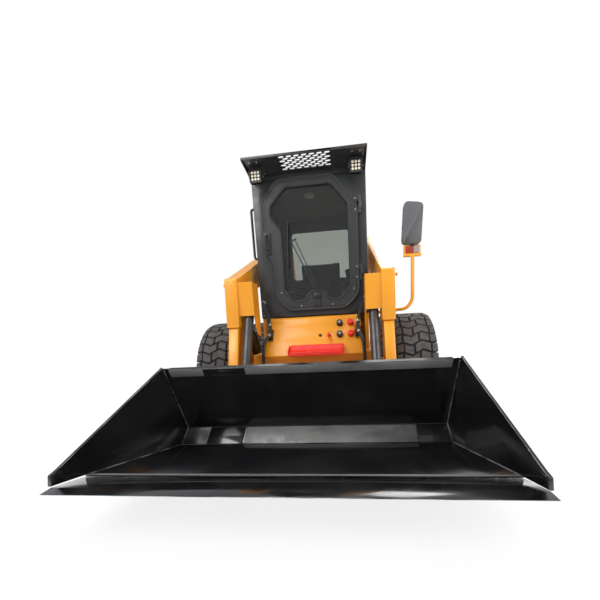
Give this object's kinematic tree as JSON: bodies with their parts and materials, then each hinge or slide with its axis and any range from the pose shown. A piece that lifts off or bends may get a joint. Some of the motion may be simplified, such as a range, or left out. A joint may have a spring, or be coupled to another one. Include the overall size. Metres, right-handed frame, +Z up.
{
  "type": "skid steer loader",
  "caption": "Wheeled skid steer loader with a closed cab, lift arms that slope up to rear towers, and a wide dirt bucket rolled back in front.",
  "frame": {"origin": "on the ground, in the middle of the length from the bucket's cutting edge to the rear bumper", "axes": "-Y is forward, towards the bucket; +X is the machine's left side, where the mirror is; +Z is up"},
  "size_m": [1.86, 3.4664, 2.0493],
  "materials": {
    "yellow_paint": "satin gloss, light wear at edges",
    "cab_paint": "dark grey satin powder coat",
    "bucket_paint": "glossy black enamel",
    "red_paint": "satin",
    "black_plastic": "fine grain",
    "grey_plastic": "fine grain",
    "hose_rubber": "matte",
    "tyre_rubber": "matte, dusty in the tread",
    "seat_cover": "coated cloth",
    "window_glass": "grey tint",
    "cylinder_paint": "dark grey",
    "rod_chrome": "polished",
    "engine_iron": "rough"
  },
  "bodies": {
    "chassis": {"lower_frame": "yellow_paint", "chain_case_left": "yellow_paint", "chain_case_right": "yellow_paint", "front_panel": "yellow_paint", "step_plate": "red_paint", "quick_couplers": "black_plastic", "rear_frame": "yellow_paint", "engine_block": "engine_iron", "cab_front": "cab_paint", "cab_side_left": "cab_paint", "cab_side_right": "cab_paint", "cab_rear": "cab_paint", "cab_roof": "cab_paint", "side_glass_left": "window_glass", "side_glass_right": "window_glass", "rear_glass": "window_glass", "work_lamp_left": "black_plastic", "work_lamp_right": "black_plastic", "seat_base": "black_plastic", "seat_cushion": "seat_cover", "seat_back": "seat_cover", "mirror_stem": "yellow_paint", "mirror_head": "grey_plastic", "hose_left": "hose_rubber", "hose_right": "hose_rubber"},
    "hood": {"engine_hood": "yellow_paint"},
    "tail_door": {"rear_door": "yellow_paint"},
    "cab_door": {"door_frame": "cab_paint", "door_glass": "window_glass", "door_handle": "black_plastic"},
    "arms": {"lift_arm_left": "yellow_paint", "lift_arm_right": "yellow_paint", "arm_cross_tube": "yellow_paint"},
    "bucket_unit": {"bucket": "bucket_paint", "cutting_edge": "bucket_paint", "coupler_plate": "yellow_paint"},
    "tilt_left_barrel_body": {"tilt_left_barrel": "cylinder_paint"},
    "tilt_left_rod_body": {"tilt_left_rod": "rod_chrome"},
    "lift_left_barrel_body": {"lift_left_barrel": "cylinder_paint"},
    "lift_left_rod_body": {"lift_left_rod": "rod_chrome"},
    "wheel_front_left": {"tyre_front_left": "tyre_rubber", "rim_front_left": "yellow_paint"},
    "wheel_rear_left": {"tyre_rear_left": "tyre_rubber", "rim_rear_left": "yellow_paint"},
    "tilt_right_barrel_body": {"tilt_right_barrel": "cylinder_paint"},
    "tilt_right_rod_body": {"tilt_right_rod": "rod_chrome"},
    "lift_right_barrel_body": {"lift_right_barrel": "cylinder_paint"},
    "lift_right_rod_body": {"lift_right_rod": "rod_chrome"},
    "wheel_front_right": {"tyre_front_right": "tyre_rubber", "rim_front_right": "yellow_paint"},
    "wheel_rear_right": {"tyre_rear_right": "tyre_rubber", "rim_rear_right": "yellow_paint"}
  },
  "joints": [
    {"name": "arm_lift", "type": "hinge", "parent": "chassis", "child": "arms", "pos_m": [0, 1.31322, 1.68], "axis": [-1, 0, 0], "range_deg": [0, 69.5]},
    {"name": "bucket_tilt", "type": "hinge", "parent": "arms", "child": "bucket_unit", "pos_m": [0, -0.64678, 0.205], "axis": [1, 0, 0], "range_deg": [-13, 121]},
    {"name": "tilt_left_swing", "type": "hinge", "parent": "arms", "child": "tilt_left_barrel_body", "pos_m": [0.466, -0.39578, 1.035], "axis": [1, 0, 0], "range_deg": [-2.22, 4.01]},
    {"name": "tilt_left_stroke", "type": "slide", "parent": "tilt_left_barrel_body", "child": "tilt_left_rod_body", "axis": [0, -0.4151, -0.9098], "range_m": [-0.0393, 0.3489]},
    {"name": "lift_left_swing", "type": "hinge", "parent": "chassis", "child": "lift_left_barrel_body", "pos_m": [0.566, 0.88322, 0.45], "axis": [1, 0, 0], "range_deg": [-9.9, 2]},
    {"name": "lift_left_stroke", "type": "slide", "parent": "lift_left_barrel_body", "child": "lift_left_rod_body", "axis": [0, -0.1687, 0.9857], "range_m": [-0.002, 0.7336]},
    {"name": "tilt_right_swing", "type": "hinge", "parent": "arms", "child": "tilt_right_barrel_body", "pos_m": [-0.466, -0.39578, 1.035], "axis": [1, 0, 0], "range_deg": [-2.22, 4.01]},
    {"name": "tilt_right_stroke", "type": "slide", "parent": "tilt_right_barrel_body", "child": "tilt_right_rod_body", "axis": [0, -0.4151, -0.9098], "range_m": [-0.0393, 0.3489]},
    {"name": "lift_right_swing", "type": "hinge", "parent": "chassis", "child": "lift_right_barrel_body", "pos_m": [-0.566, 0.88322, 0.45], "axis": [1, 0, 0], "range_deg": [-9.9, 2]},
    {"name": "lift_right_stroke", "type": "slide", "parent": "lift_right_barrel_body", "child": "lift_right_rod_body", "axis": [0, -0.1687, 0.9857], "range_m": [-0.002, 0.7336]},
    {"name": "cab_door_swing", "type": "hinge", "parent": "chassis", "child": "cab_door", "pos_m": [0.4, -0.18078, 1.45], "axis": [0, 0, 1], "range_deg": [0, 88]},
    {"name": "hood_lift", "type": "hinge", "parent": "chassis", "child": "hood", "pos_m": [0, 0.94322, 1.236], "axis": [1, 0, 0], "range_deg": [0, 60]},
    {"name": "rear_door_swing", "type": "hinge", "parent": "chassis", "child": "tail_door", "pos_m": [0.405, 1.70822, 0.75], "axis": [0, 0, -1], "range_deg": [0, 100]},
    {"name": "wheel_front_left_spin", "type": "hinge", "parent": "chassis", "child": "wheel_front_left", "pos_m": [0.776, -0.06678, 0.44], "axis": [1, 0, 0], "continuous": true},
    {"name": "wheel_front_right_spin", "type": "hinge", "parent": "chassis", "child": "wheel_front_right", "pos_m": [-0.776, -0.06678, 0.44], "axis": [1, 0, 0], "continuous": true},
    {"name": "wheel_rear_left_spin", "type": "hinge", "parent": "chassis", "child": "wheel_rear_left", "pos_m": [0.776, 1.08322, 0.44], "axis": [1, 0, 0], "continuous": true},
    {"name": "wheel_rear_right_spin", "type": "hinge", "parent": "chassis", "child": "wheel_rear_right", "pos_m": [-0.776, 1.08322, 0.44], "axis": [1, 0, 0], "continuous": true}
  ],
  "couplings": [
    {"joint": "tilt_left_swing", "follows": "bucket_tilt", "ratio": 0.016596},
    {"joint": "tilt_left_stroke", "follows": "bucket_tilt", "m_per_rad": 0.16424},
    {"joint": "lift_left_swing", "follows": "arm_lift", "ratio": -0.11374},
    {"joint": "lift_left_stroke", "follows": "arm_lift", "m_per_rad": 0.60311},
    {"joint": "tilt_right_swing", "follows": "bucket_tilt", "ratio": 0.016596},
    {"joint": "tilt_right_stroke", "follows": "bucket_tilt", "m_per_rad": 0.16424},
    {"joint": "lift_right_swing", "follows": "arm_lift", "ratio": -0.11374},
    {"joint": "lift_right_stroke", "follows": "arm_lift", "m_per_rad": 0.60311}
  ]
}
